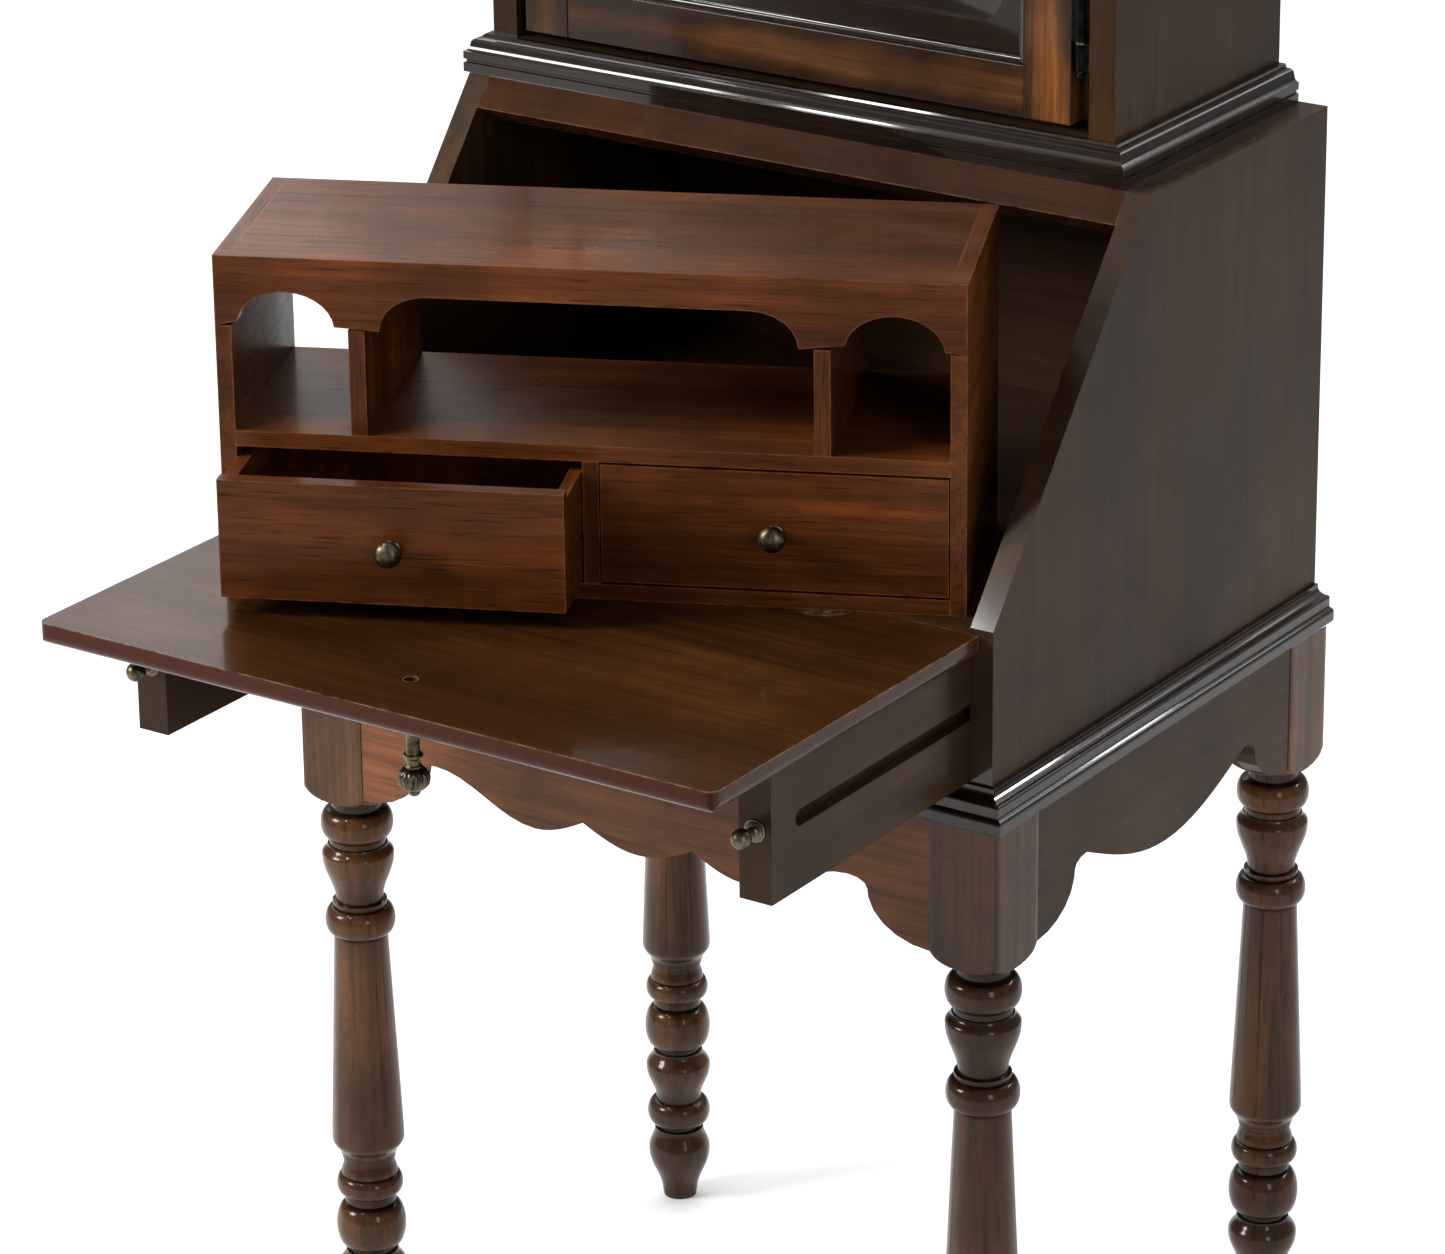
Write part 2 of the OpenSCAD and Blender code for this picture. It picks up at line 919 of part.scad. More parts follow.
// Round knob with a collar, standing out from a face towards the front
module round_knob(r) {
    rotate([90, 0, 0])
        turned(concat(
            [[0.62 * r, 0], [0.62 * r, 1.2], [0.42 * r, 2.4], [0.36 * r, 0.7 * r]],
            [for (a = [-50:20:70]) [r * cos(a), 1.5 * r + 0.72 * r * sin(a)]]
        ));
}

knob_z = 58;

module drawer_left_front() {
    color(organizer_wood) at_drawer(-1, drawer_out) drawer_front();
}

module drawer_left_box() {
    color(organizer_wood) at_drawer(-1, drawer_out) drawer_box();
}

module drawer_left_bottom() {
    color(organizer_wood) at_drawer(-1, drawer_out) drawer_bottom();
}

module drawer_left_knob() {
    color(brass)
        at_drawer(-1, drawer_out)
            translate([0, 0, knob_z])
                round_knob(10);
}

module drawer_right_front() {
    color(organizer_wood) at_drawer(1, 0) drawer_front();
}

module drawer_right_box() {
    color(organizer_wood) at_drawer(1, 0) drawer_box();
}

module drawer_right_bottom() {
    color(organizer_wood) at_drawer(1, 0) drawer_bottom();
}

module drawer_right_knob() {
    color(brass)
        at_drawer(1, 0)
            translate([0, 0, knob_z])
                round_knob(10);
}

/* Hutch */

hutch_x0 = -hutch_w / 2;
hutch_x1 = hutch_w / 2;
hutch_y0 = slope_y + 18.5;
hutch_y1 = case_d - 3;
hutch_top = top_z + hutch_h;
rail_t = 19;
behind_rails = hutch_y0 + rail_t;
hutch_in_x0 = hutch_x0 + hutch_side_t;
hutch_in_x1 = hutch_x1 - hutch_side_t;
hutch_floor = top_z + plinth_h;

module at_hutch() {
    translate([hutch_x, front_y, 0]) children();
}

module hutch_side_left() {
    color(case_wood)
        at_hutch()
            block([hutch_x0, hutch_y0, top_z], [hutch_in_x0, hutch_y1, hutch_top]);
}

module hutch_side_right() {
    color(case_wood)
        at_hutch()
            block([hutch_in_x1, hutch_y0, top_z], [hutch_x1, hutch_y1, hutch_top]);
}

module hutch_back() {
    color(case_wood)
        at_hutch()
            block(
                [hutch_in_x0, hutch_y1 - back_t, top_z],
                [hutch_in_x1, hutch_y1, hutch_top - board_t]
            );
}

module hutch_bottom() {
    color(case_wood)
        at_hutch()
            block(
                [hutch_in_x0, behind_rails, hutch_floor - board_t],
                [hutch_in_x1, hutch_y1 - back_t, hutch_floor]
            );
}

module hutch_top() {
    color(case_wood)
        at_hutch()
            block(
                [hutch_in_x0, behind_rails, hutch_top - board_t],
                [hutch_in_x1, hutch_y1, hutch_top]
            );
}

// The door stands between the side panels, further from the one with its hinges
hinge_gap = 16;
door_x0 = hutch_in_x0 + door_gap;
door_x1 = hutch_in_x1 - hinge_gap;
door_z0 = hutch_floor + 6;
door_z1 = hutch_top - 70;

// Rails below and above the door
module hutch_rails() {
    upper_z = door_z1 + 3;
    rail_w = hutch_in_x1 - hutch_in_x0;
    color(case_wood)
        at_hutch()
            front_profile(hutch_y0, behind_rails) {
                translate([hutch_in_x0, top_z]) square([rail_w, plinth_h]);
                translate([hutch_in_x0, upper_z]) square([rail_w, hutch_top - upper_z]);
            }
}

module hutch_plinth() {
    color(molding_wood)
        at_hutch()
            three_sided(plinth_profile, 18, hutch_x0, hutch_x1, hutch_y0, hutch_y1, hutch_floor);
}

module hutch_cornice() {
    color(molding_wood)
        at_hutch()
            three_sided(cornice_profile, 25, hutch_x0, hutch_x1, hutch_y0, hutch_y1, hutch_top);
}

shelf_count = 2;
shelf_t = 16;

module hutch_shelves() {
    clear_h = hutch_top - board_t - hutch_floor;
    color(case_wood)
        at_hutch()
            for (k = [1:shelf_count])
                translate([0, 0, hutch_floor + clear_h * k / (shelf_count + 1)])
                    block(
                        [hutch_in_x0, behind_rails + 25, -shelf_t / 2],
                        [hutch_in_x1, hutch_y1 - back_t, shelf_t / 2]
                    );
}

/* Glazed door, hung on two finial hinges at its right side */

door_t = 20;
door_y0 = hutch_y0 + 1;
sticking_w = 8;
fret_t = 8;
fret_y0 = door_y0 + 5;
fret_side = 14;
fret_end = 19;
mullion_w = 25;
light_r = 22;
glass_t = 3;
hinge_axis_x = door_x1 + hinge_gap / 2;
hinge_axis_y = door_y0;

// Opening inside the stiles and rails
open_x0 = door_x0 + stile_w;
open_x1 = door_x1 - stile_w;
open_z0 = door_z0 + stile_w;
open_z1 = door_z1 - stile_w;

// Two stiles with two rails between them, and a bead on the inner edge of each
module door_frame() {
    rail_w = open_x1 - open_x0 - 2 * joint;
    color(red_wood)
        at_hutch()
            for (side = [0, 1]) {
                stile_x = side == 0 ? door_x0 : open_x1;
                bead_x = side == 0 ? open_x0 : open_x1 - sticking_w;
                rail_z = side == 0 ? door_z0 : open_z1;
                bead_z = side == 0 ? open_z0 : open_z1 - sticking_w;
                front_profile(door_y0, door_y0 + door_t) {
                    translate([stile_x, door_z0]) square([stile_w, door_z1 - door_z0]);
                    translate([open_x0 + joint, rail_z]) square([rail_w, stile_w]);
                }
                block(
                    [bead_x, door_y0 + 2, open_z0 + joint],
                    [bead_x + sticking_w, fret_y0, open_z1 - joint]
                );
                block(
                    [open_x0 + sticking_w + joint, door_y0 + 2, bead_z],
                    [open_x1 - sticking_w - joint, fret_y0, bead_z + sticking_w]
                );
            }
}

// Outline of one light: a rectangle with rounded corners
module light(x0, x1, z0, z1) {
    for (x = [x0 + light_r, x1 - light_r])
        for (z = [z0 + light_r, z1 - light_r])
            translate([x, z]) circle(r = light_r);
    translate([x0 + light_r, z0]) square([x1 - x0 - 2 * light_r, z1 - z0]);
    translate([x0, z0 + light_r]) square([x1 - x0, z1 - z0 - 2 * light_r]);
}

// Thin panel with two lights, set behind the beads
module door_fret() {
    middle = (open_x0 + open_x1) / 2;
    light_x0 = open_x0 + sticking_w + fret_side;
    light_z0 = open_z0 + sticking_w + fret_end;
    light_z1 = open_z1 - sticking_w - fret_end;
    color(molding_wood)
        at_hutch()
            front_profile(fret_y0, fret_y0 + fret_t)
                difference() {
                    translate([open_x0, open_z0])
                        square([open_x1 - open_x0, open_z1 - open_z0]);
                    light(light_x0, middle - mullion_w / 2, light_z0, light_z1);
                    light(
                        middle + mullion_w / 2, 2 * middle - light_x0, light_z0, light_z1
                    );
                }
}

module door_glass() {
    color(pane)
        at_hutch()
            block(
                [open_x0 + 1, fret_y0 + fret_t, open_z0 + 1],
                [open_x1 - 1, fret_y0 + fret_t + glass_t, open_z1 - 1]
            );
}

module door_knob() {
    color(brass)
        at_hutch()
            translate([door_x0 + stile_w / 2, door_y0, (door_z0 + door_z1) / 2])
                round_knob(10);
}

// Finial hinges: a short lower knuckle, a washer and a longer upper knuckle
knuckle_h = 20;
upper_knuckle_h = 42;
hinge_r = 3.6;
washer_t = 1.2;
leaf_plate = 1.6;
leaf_deep = 15;
hinge_z_low = top_z + 99;
hinge_z_high = door_z1 - 64;

// Finial with its foot at the origin
module finial() {
    turned([
        [hinge_r, 0], [hinge_r, 1], [2.2, 1.8], [2.2, 2.4],
        [3.2, 4], [3.2, 5.4], [1.6, 8], [0.8, 9]
    ]);
}

module hutch_hinge_leaves() {
    plate_x = hutch_in_x1 - leaf_plate;
    color(black_iron)
        at_hutch()
            for (z = [hinge_z_low, hinge_z_high]) {
                translate([hinge_axis_x, hinge_axis_y, z - knuckle_h]) {
                    cylinder(h = knuckle_h, r = hinge_r);
                    cylinder(h = knuckle_h + upper_knuckle_h - 4, r = 1.2);
                    mirror([0, 0, 1]) finial();
                }
                block(
                    [hinge_axis_x, hinge_axis_y - 0.8, z - knuckle_h],
                    [plate_x + leaf_plate, hinge_axis_y + 0.8, z]
                );
                block(
                    [plate_x, hinge_axis_y - 0.8, z - knuckle_h],
                    [plate_x + leaf_plate, hinge_axis_y + leaf_deep, z]
                );
            }
}

// Washers threaded on the pins between the knuckles
module hutch_hinge_washers() {
    color(brass)
        at_hutch()
            for (z = [hinge_z_low, hinge_z_high])
                translate([hinge_axis_x, hinge_axis_y, z])
                    difference() {
                        cylinder(h = washer_t, r = hinge_r + 0.5);
                        translate([0, 0, -1])
                            cylinder(h = washer_t + 2, r = pin_r + 0.2);
                    }
}

module door_hinge_leaves() {
    foot = washer_t + 0.3;
    color(black_iron)
        at_hutch()
            for (z = [hinge_z_low, hinge_z_high])
                difference() {
                    union() {
                        translate([hinge_axis_x, hinge_axis_y, z + foot]) {
                            cylinder(h = upper_knuckle_h, r = hinge_r);
                            translate([0, 0, upper_knuckle_h]) finial();
                        }
                        block(
                            [door_x1, hinge_axis_y - 0.8, z + foot],
                            [hinge_axis_x, hinge_axis_y + 0.8, z + foot + upper_knuckle_h]
                        );
                        block(
                            [door_x1, hinge_axis_y, z + foot],
                            [door_x1 + leaf_plate, hinge_axis_y + leaf_deep,
                                z + foot + upper_knuckle_h]
                        );
                    }
                    translate([hinge_axis_x, hinge_axis_y, z])
                        cylinder(h = upper_knuckle_h - 0.5, r = 1.6);
                }
}

side_panel_left();
side_panel_right();
case_back();
desk_floor();
case_bottom();
case_top();
slope_rail();
front_rail();
loper_guides();
loper_stop_pins();
waist_molding();
apron_front();
apron_left();
apron_right();
apron_back();
leg_front_left();
leg_front_right();
leg_rear_left();
leg_rear_right();
foot_glides();
floor_hinge_leaves();
lid_panel();
lid_hinge_leaves();
pull_mount();
pull_pendant();
loper_left();
loper_knob_left();
loper_right();
loper_knob_right();
organizer_side_left();
organizer_side_right();
organizer_top();
organizer_bottom();
organizer_shelf();
organizer_fascia();
organizer_dividers();
drawer_left_front();
drawer_left_box();
drawer_left_bottom();
drawer_left_knob();
drawer_right_front();
drawer_right_box();
drawer_right_bottom();
drawer_right_knob();
hutch_side_left();
hutch_side_right();
hutch_back();
hutch_bottom();
hutch_top();
hutch_rails();
hutch_plinth();
hutch_cornice();
hutch_shelves();
hutch_hinge_leaves();
hutch_hinge_washers();
door_frame();
door_fret();
door_glass();
door_knob();
door_hinge_leaves();
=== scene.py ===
"""A secretary desk with its fall front open, its loose organizer turned on the lid and a hutch on top.

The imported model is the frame: it stands on z = 0 with its front towards -Y. Lengths are in metres.
"""

import json
import math

import bmesh
import bpy
from mathutils import Matrix, Vector


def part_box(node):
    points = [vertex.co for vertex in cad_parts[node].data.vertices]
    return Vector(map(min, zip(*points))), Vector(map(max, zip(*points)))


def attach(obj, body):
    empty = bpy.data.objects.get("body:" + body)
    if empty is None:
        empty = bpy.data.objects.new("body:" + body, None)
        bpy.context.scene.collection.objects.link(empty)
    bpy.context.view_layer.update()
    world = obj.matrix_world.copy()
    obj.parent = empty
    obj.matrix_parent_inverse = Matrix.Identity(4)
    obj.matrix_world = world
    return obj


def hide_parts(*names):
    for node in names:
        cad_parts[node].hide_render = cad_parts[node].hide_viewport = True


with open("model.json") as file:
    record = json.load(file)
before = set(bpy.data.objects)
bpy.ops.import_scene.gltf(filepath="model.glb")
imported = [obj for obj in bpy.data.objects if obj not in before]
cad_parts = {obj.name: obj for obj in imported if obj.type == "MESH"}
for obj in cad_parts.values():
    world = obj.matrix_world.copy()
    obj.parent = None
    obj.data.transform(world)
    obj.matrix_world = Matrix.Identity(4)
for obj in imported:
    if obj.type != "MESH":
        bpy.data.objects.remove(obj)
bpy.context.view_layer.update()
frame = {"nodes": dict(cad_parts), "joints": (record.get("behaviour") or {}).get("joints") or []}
nodes = frame["nodes"]
joints = {joint["name"]: joint for joint in frame["joints"]}
scene = bpy.context.scene

MM = 0.001
UP = Vector((0, 0, 1))


# ---------------------------------------------------------------- places

CASE_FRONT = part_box("side_panel_left")[0].y
DRAWER_AXIS = Vector(joints["left_drawer_slide"]["axis"])
ORGANIZER_TURN = math.atan2(DRAWER_AXIS.x, -DRAWER_AXIS.y)


# ---------------------------------------------------------------- materials

class Graph:
    """A material's node graph, with short ways to add and join its nodes."""

    def __init__(self, name):
        self.material = bpy.data.materials.new(name)
        self.material.use_nodes = True
        self.tree = self.material.node_tree
        self.shader = self.tree.nodes["Principled BSDF"]

    def add(self, kind, inputs=None, **settings):
        """A node of this kind. Its inputs are numbers, colours or other nodes' outputs."""
        made = self.tree.nodes.new("ShaderNode" + kind)
        for key, value in settings.items():
            setattr(made, key, value)
        for key, value in (inputs or {}).items():
            self.put(value, made.inputs[key])
        return made

    def put(self, value, socket):
        """Links an output into a socket, or sets the socket to a number or colour."""
        if isinstance(value, bpy.types.NodeSocket):
            self.tree.links.new(value, socket)
        else:
            socket.default_value = value

    def math(self, operation, a, b=0.0, clamp=False):
        return self.add("Math", {0: a, 1: b}, operation=operation, use_clamp=clamp).outputs[0]

    def mix(self, factor, a, b, blend="MIX"):
        """Mixes two colours."""
        made = self.add("Mix", data_type="RGBA", blend_type=blend)
        self.put(factor, made.inputs[0])
        self.put(a, made.inputs[6])
        self.put(b, made.inputs[7])
        return made.outputs[2]

    def remap(self, value, from_low, from_high, to_low=0.0, to_high=1.0):
        """Maps a value from one range to another, held at the ends."""
        return self.add("MapRange", {
            0: value, 1: from_low, 2: from_high, 3: to_low, 4: to_high,
        }).outputs[0]

    def place(self, turn=0.0, stretch=(1, 1, 1)):
        """Object coordinates, turned about Z, then multiplied by stretch."""
        coords = self.add("TexCoord").outputs["Object"]
        return self.add("Mapping", {
            0: coords, 2: (0, 0, turn), 3: tuple(1 / s for s in stretch),
        }, vector_type="TEXTURE").outputs[0]

    def noise(self, where, scale=1.0, detail=4.0, rough=0.5, distortion=0.0):
        return self.add("TexNoise", {
            "Vector": where, "Scale": scale, "Detail": detail,
            "Roughness": rough, "Distortion": distortion,
        }).outputs[0]

    def edge(self, radius):
        """0 on flat ground, rising towards 1 within radius of an edge."""
        true = self.add("NewGeometry").outputs["Normal"]
        eased = self.add("Bevel", {0: radius}, samples=4).outputs[0]
        dot = self.add("VectorMath", {0: true, 1: eased}, operation="DOT_PRODUCT").outputs["Value"]
        return self.math("SUBTRACT", 1.0, dot, clamp=True)

    def bump(self, height, distance, strength=1.0, under=None):
        inputs = {"Height": height, "Distance": distance, "Strength": strength}
        if under is not None:
            inputs["Normal"] = under
        return self.add("Bump", inputs).outputs[0]

    def finish(self, **sockets):
        """Sets the shader's sockets by name, with _ for a space."""
        for key, value in sockets.items():
            self.put(value, self.shader.inputs[key.replace("_", " ")])
        return self.material


def colour(red, green, blue):
    """A colour as seen on a screen, 0 to 255, as the linear colour that the shader takes."""
    return tuple(((v / 255 + 0.055) / 1.055) ** 2.4 for v in (red, green, blue)) + (1.0,)


# How closely wood's figure repeats along and across the grain, in cycles per metre
GRAIN = {"X": (4, 110, 110), "Y": (110, 4, 110), "Z": (110, 110, 4)}

# How far wear, a painted arris highlight and glaze reach from an edge, and how far away a groove's walls
# cast painted shade into it
WOOD_ARRIS = 2.6 * MM
METAL_ARRIS = 1.2 * MM
GROOVE_SHADE_REACH = 14 * MM


def wood(name, dark, mid, light, grain="X", turn=0.0, gloss=0.5, sheen_rough=0.22, specular=0.3,
         wear=0.5, wear_and_highlight_colour=(150, 84, 48), glaze=0.4, pores=0.5, blotch=0.5,
         coat_rough=0.1, painted_groove_shade=0.0, burnish=None, front_gloss=None, front_stain=None):
    """Stained and lacquered wood: long streaks, open pores, cloudy stain, dark glaze near its edges and a
    thin light line on the arrises themselves, which is edge wear and, where its colour is pale, also a
    painted highlight. burnish is (axis, middle, half width) of a board that was rubbed bright along its
    middle. painted_groove_shade is how much darker its grooves are painted, as painted shade.
    front_gloss is the thickness of the lacquer on the sides that face the front when the desk rests,
    and front_stain, which needs it, is the colour of those sides."""
    g = Graph(name)
    along = g.place(turn, GRAIN[grain])
    wide = g.place(turn, tuple(0.15 * s for s in GRAIN[grain]))
    fine = g.place(turn, tuple(7 * s for s in GRAIN[grain]))
    room = g.place(turn)

    cloud = g.noise(room, 6.5, 3.0, 0.55)
    band = g.noise(wide, 1.0, 3.0, 0.55, 0.5)
    streak = g.noise(along, 1.0, 6.0, 0.68, 0.3)
    figure = g.math("ADD", g.math("MULTIPLY", band, 0.45), g.math("MULTIPLY", streak, 0.55))
    figure = g.remap(figure, 0.33, 0.67)

    tone = g.mix(figure, colour(*dark), colour(*mid))
    bright = g.math("MULTIPLY", g.remap(cloud, 0.42, 0.68), g.remap(figure, 0.3, 0.9))
    tone = g.mix(bright, tone, colour(*light))
    shade = g.remap(cloud, 0.35, 0.65, 1.0 - blotch * 0.5, 1.0 + blotch * 0.25)
    tone = g.mix(1.0, tone, g.add("CombineColor", {0: shade, 1: shade, 2: shade}).outputs[0], "MULTIPLY")
    if burnish:
        axis, centre, half = burnish
        where = g.add("SeparateXYZ", {0: room}).outputs[axis]
        off = g.math("ABSOLUTE", g.math("SUBTRACT", where, centre))
        ragged = g.math("ADD", g.math("DIVIDE", off, half), g.remap(cloud, 0.3, 0.7, 0.55, -0.3))
        tone = g.mix(g.remap(ragged, 0.25, 1.0, 0.0, 0.92), tone, colour(*(0.5 * v for v in dark)))

    if front_gloss:
        facing = g.add("SeparateXYZ", {0: g.add("TexCoord").outputs["Normal"]}).outputs[1]
        front = g.remap(facing, -0.55, -0.75)
        gloss = g.remap(front, 0.0, 1.0, gloss, front_gloss)
        if front_stain:
            tone = g.mix(front, tone, colour(*front_stain))

    pore = g.remap(g.noise(fine, 1.0, 2.0, 0.5), 0.58, 0.7)
    pore = g.math("MULTIPLY", pore, pores)
    tone = g.mix(pore, tone, colour(*(0.5 * v for v in dark)))

    edge = g.edge(WOOD_ARRIS)
    glazed = g.math("MULTIPLY", g.remap(edge, 0.0, 0.06), glaze)
    tone = g.mix(glazed, tone, colour(*(0.45 * v for v in dark)))
    # Thin light line on the arrises: edge wear broken up by noise; where its colour is pale, as on the lid
    # and slope rail, it is also a painted highlight.
    broken = g.remap(g.noise(room, 55.0, 4.0, 0.7), 0.36, 0.56)
    arris_wear_and_highlight = g.math("MULTIPLY", g.remap(edge, 0.1, 0.24), g.math("MULTIPLY", broken, wear))
    tone = g.mix(arris_wear_and_highlight, tone, colour(*wear_and_highlight_colour))
    # Painted shade: grooves and recesses with little open space around them (ambient occlusion over a
    # short reach) are darkened, standing in for shade.
    if painted_groove_shade:
        open_sky = g.add("AmbientOcclusion", {1: GROOVE_SHADE_REACH}, samples=6, only_local=True).outputs["AO"]
        groove_shade_mask = g.math("MULTIPLY", g.remap(open_sky, 0.97, 0.7), painted_groove_shade)
        tone = g.mix(groove_shade_mask, tone, colour(*(0.3 * v for v in dark)))

    smear = g.noise(room, 14.0, 4.0, 0.6)
    rough = g.remap(smear, 0.3, 0.7, sheen_rough * 0.85, sheen_rough * 1.2)
    rough = g.math("ADD", rough, g.math("MULTIPLY", pore, 0.2))
    relief = g.math("SUBTRACT", g.math("MULTIPLY", streak, 0.35), pore)
    normal = g.bump(relief, 0.06 * MM, 0.5)
    normal = g.bump(g.noise(room, 9.0, 2.0, 0.5), 0.8 * MM, 0.1, normal)
    return g.finish(
        Base_Color=tone, Roughness=rough, Normal=normal, Specular_IOR_Level=specular,
        Specular_Tint=(1, 0.84, 0.7, 1), Coat_Weight=gloss, Coat_Roughness=coat_rough,
    )


def metal(name, base, bright, rough, wear, dirt):
    """Patinated metal: cloudy with dark patina, rubbed bright on its edges."""
    g = Graph(name)
    room = g.place()
    cloud = g.noise(room, 160.0, 4.0, 0.6)
    tone = g.mix(g.remap(cloud, 0.35, 0.65), colour(*dirt), colour(*base))
    rubbed = g.remap(g.edge(METAL_ARRIS), 0.02, 0.2)
    rubbed = g.math("MULTIPLY", rubbed, g.remap(g.noise(room, 420.0, 3.0), 0.35, 0.6, 0.3, wear))
    tone = g.mix(rubbed, tone, colour(*bright))
    normal = g.bump(g.noise(room, 900.0, 3.0), 0.03 * MM, 0.5)
    return g.finish(
        Base_Color=tone, Metallic=1.0, Normal=normal,
        Roughness=g.remap(cloud, 0.3, 0.7, rough * 0.75, rough * 1.3),
    )


def glass(name):
    """Thin clear pane with a slight roll to its surface."""
    g = Graph(name)
    roll = g.bump(g.noise(g.place(), 6.0, 1.0), 1.0 * MM, 0.1)
    return g.finish(
        Base_Color=(0.86, 0.9, 0.88, 1), Roughness=0.03, Transmission_Weight=1.0, IOR=1.45, Normal=roll,
    )


def plastic(name, tone):
    g = Graph(name)
    speck = g.noise(g.place(), 700.0, 3.0)
    return g.finish(
        Base_Color=g.mix(g.remap(speck, 0.3, 0.7), colour(*tone), colour(*(1.6 * v for v in tone))),
        Roughness=g.remap(speck, 0.3, 0.7, 0.45, 0.6), Normal=g.bump(speck, 0.05 * MM, 0.4),
    )


def floor_material():
    """Pale studio floor with a barely visible mottle."""
    g = Graph("studio_floor")
    mottle = g.noise(g.place(), 0.7, 3.0)
    return g.finish(
        Base_Color=g.mix(mottle, (0.93, 0.93, 0.93, 1), (0.96, 0.96, 0.96, 1)),
        Roughness=0.9, Specular_IOR_Level=0.1,
    )


CASE = dict(dark=(46, 32, 20), mid=(61, 43, 27), light=(72, 50, 30), gloss=0.06, sheen_rough=0.34,
            specular=0.1, wear=0.4, wear_and_highlight_colour=(112, 74, 52), glaze=0.6, pores=0.3, blotch=0.4)
RED = dict(dark=(60, 33, 18), mid=(116, 70, 42), light=(146, 88, 54), gloss=0.12, sheen_rough=0.3,
           specular=0.18, wear=0.6, wear_and_highlight_colour=(150, 92, 60), glaze=0.6, pores=0.4, blotch=0.5)
# The lid's pale arris colour is partly wear and partly a painted highlight along its arrises; the slope
# rail takes it too.
LID = dict(dark=(44, 24, 10), mid=(70, 40, 17), light=(84, 50, 22), gloss=0.3, sheen_rough=0.26,
           specular=0.1, wear=0.85, wear_and_highlight_colour=(170, 126, 98), glaze=0.5, pores=0.25, blotch=0.4)
SLOPE = {**LID, "dark": (34, 18, 10), "mid": (56, 31, 17), "light": (70, 40, 21), "wear": 0.5}
ORGANIZER = dict(dark=(62, 30, 12), mid=(102, 54, 24), light=(128, 70, 32), gloss=0.08,
                 sheen_rough=0.3, specular=0.14, wear=0.8, wear_and_highlight_colour=(164, 96, 56),
                 glaze=0.3, pores=0.7, blotch=0.45)
BLACK = dict(dark=(16, 11, 8), mid=(28, 19, 14), light=(42, 27, 19), gloss=0.8, sheen_rough=0.3,
             specular=0.1, wear=0.3, wear_and_highlight_colour=(110, 70, 46), glaze=0.3, pores=0.15, blotch=0.3,
             coat_rough=0.05)
# The legs' turnings get painted shade in their grooves.
LEG = dict(dark=(40, 25, 14), mid=(70, 45, 26), light=(104, 66, 38), gloss=0.35, sheen_rough=0.28,
           specular=0.1, wear=0.2, glaze=0.3, pores=0.45, blotch=0.6, coat_rough=0.07, painted_groove_shade=0.85)
DOOR = dict(dark=(62, 36, 18), mid=(116, 70, 34), light=(162, 102, 52), gloss=0.3, sheen_rough=0.26,
            specular=0.2, wear=0.5, glaze=0.9, pores=0.35, blotch=0.7)
INSIDE = dict(dark=(48, 31, 19), mid=(72, 46, 27), light=(80, 52, 31), gloss=0.1, sheen_rough=0.42,
              specular=0.2, wear=0.2, glaze=0.3, pores=0.3, blotch=0.2)

MATERIALS = {
    "case_upright": wood("case_upright", grain="Z", **CASE),
    "side_panel": wood("side_panel", grain="Z", front_gloss=0.8, **CASE),
    "case_level": wood("case_level", grain="X", **CASE),
    "case_deep": wood("case_deep", grain="Y", **CASE),
    "red_level": wood("red_level", grain="X", **RED),
    "red_deep": wood("red_deep", grain="Y", **RED),
    "inside": wood("inside", grain="X", **INSIDE),
    "organizer_level": wood("organizer_level", grain="X", turn=ORGANIZER_TURN, **ORGANIZER),
    "organizer_deep": wood("organizer_deep", grain="Y", turn=ORGANIZER_TURN, **ORGANIZER),
    "organizer_upright": wood("organizer_upright", grain="Z", turn=ORGANIZER_TURN, **ORGANIZER),
    "molding": wood("molding", grain="X", **BLACK),
    "leg": wood("leg", grain="Z", **LEG),
    "lid": wood("lid", grain="X", front_gloss=0.04, front_stain=(66, 31, 21), **LID),
    "slope_rail": wood("slope_rail", grain="X", front_gloss=0.04, **SLOPE),
    "brass": metal("brass", (118, 107, 86), (214, 202, 174), 0.36, 0.55, (66, 59, 46)),
    "iron": metal("iron", (30, 29, 28), (120, 118, 114), 0.4, 0.4, (12, 12, 12)),
    "nickel": metal("nickel", (190, 184, 172), (240, 236, 228), 0.45, 0.8, (130, 124, 112)),
    "pane": glass("pane"),
    "glide": plastic("glide", (22, 21, 20)),
}

CARRIED = {
    "case_upright": ["hutch_side_left", "hutch_side_right"],
    "side_panel": ["side_panel_left", "side_panel_right"],
    "case_level": [
        "case_bottom", "case_top", "hutch_bottom", "hutch_top", "hutch_rails", "apron_back",
    ],
    "red_level": ["front_rail", "apron_front"],
    "lid": ["lid_panel"],
    "slope_rail": ["slope_rail"],
    "case_deep": ["apron_left", "apron_right", "loper_left", "loper_right"],
    "red_deep": ["loper_guides"],
    "inside": ["case_back", "desk_floor", "hutch_back", "hutch_shelves"],
    "organizer_level": [
        "organizer_top", "organizer_bottom", "organizer_shelf", "organizer_fascia",
        "drawer_left_front", "drawer_right_front", "drawer_left_bottom", "drawer_right_bottom",
    ],
    "organizer_deep": [
        "organizer_side_left", "organizer_side_right", "drawer_left_box", "drawer_right_box",
    ],
    "organizer_upright": ["organizer_dividers"],
    "molding": ["waist_molding", "hutch_plinth", "hutch_cornice", "door_fret"],
    "brass": ["pull_mount", "hutch_hinge_washers"],
    "iron": ["hutch_hinge_leaves", "door_hinge_leaves"],
    "nickel": ["floor_hinge_leaves", "lid_hinge_leaves", "loper_stop_pins"],
    "pane": ["door_glass"],
    "glide": ["foot_glides"],
}


# ---------------------------------------------------------------- making pieces

def smooth(obj, angle=32):
    """Smooth shading, with creases kept sharp."""
    for polygon in obj.data.polygons:
        polygon.use_smooth = True
    obj.data.set_sharp_from_angle(angle=math.radians(angle))


